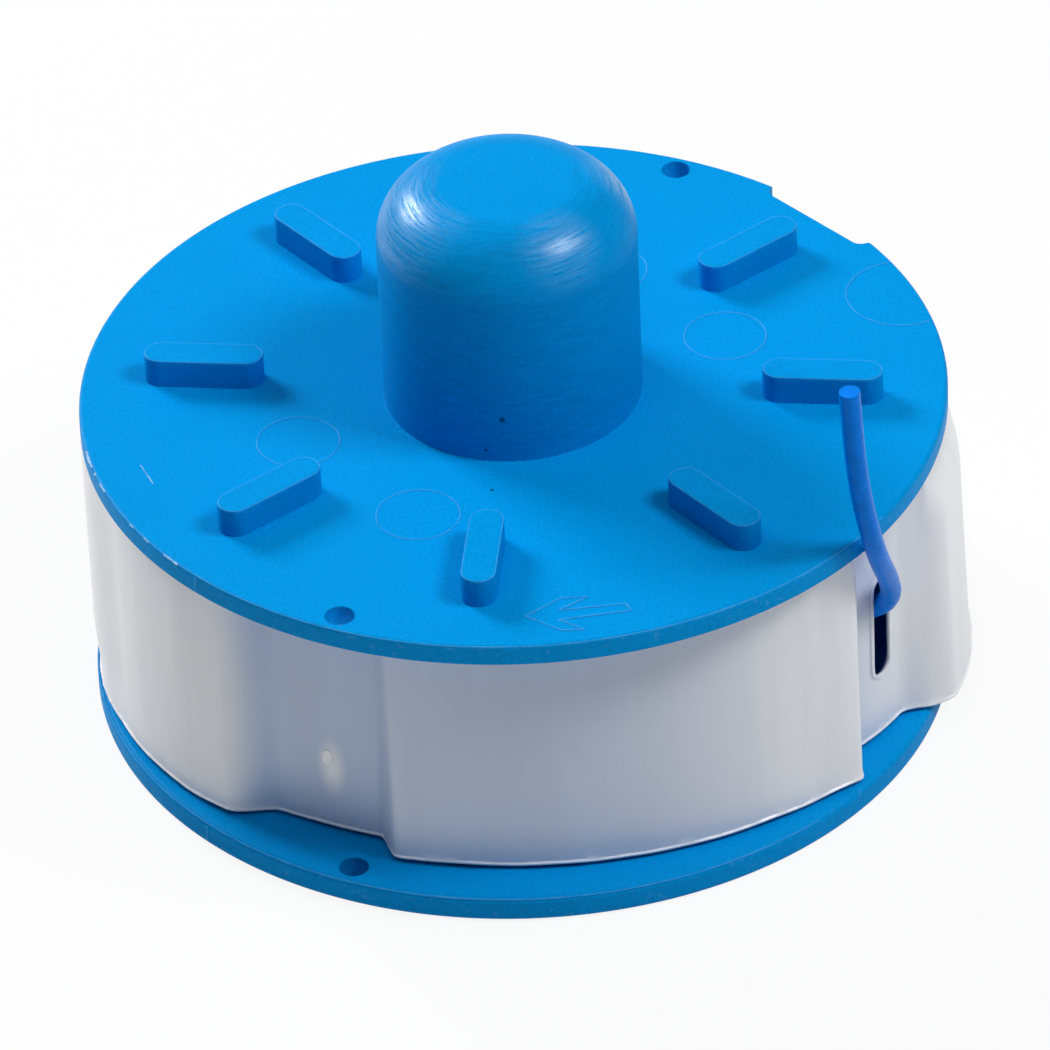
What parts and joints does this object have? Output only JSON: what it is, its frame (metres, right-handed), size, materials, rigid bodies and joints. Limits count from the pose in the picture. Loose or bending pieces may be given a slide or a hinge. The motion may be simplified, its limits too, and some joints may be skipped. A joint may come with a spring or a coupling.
{
  "type": "trimmer line spool",
  "caption": "Moulded spool of trimmer line with a domed tap boss, radial drive lugs on the upper flange and a lobed soft band that holds the line's free end in a slot.",
  "frame": {"origin": "centre of the hub bore at the underside of the lower flange", "axes": "+Z along the spool's axis towards the tap boss, +X along one of the drive lugs"},
  "size_m": [0.0631, 0.062, 0.0418],
  "materials": {
    "spool": "satin moulded blue",
    "line": "smooth extruded blue",
    "band": "milky translucent"
  },
  "bodies": {
    "root": {"spool": "spool", "line_winding": "line", "line_tail": "line", "line_band": "band"}
  },
  "joints": []
}
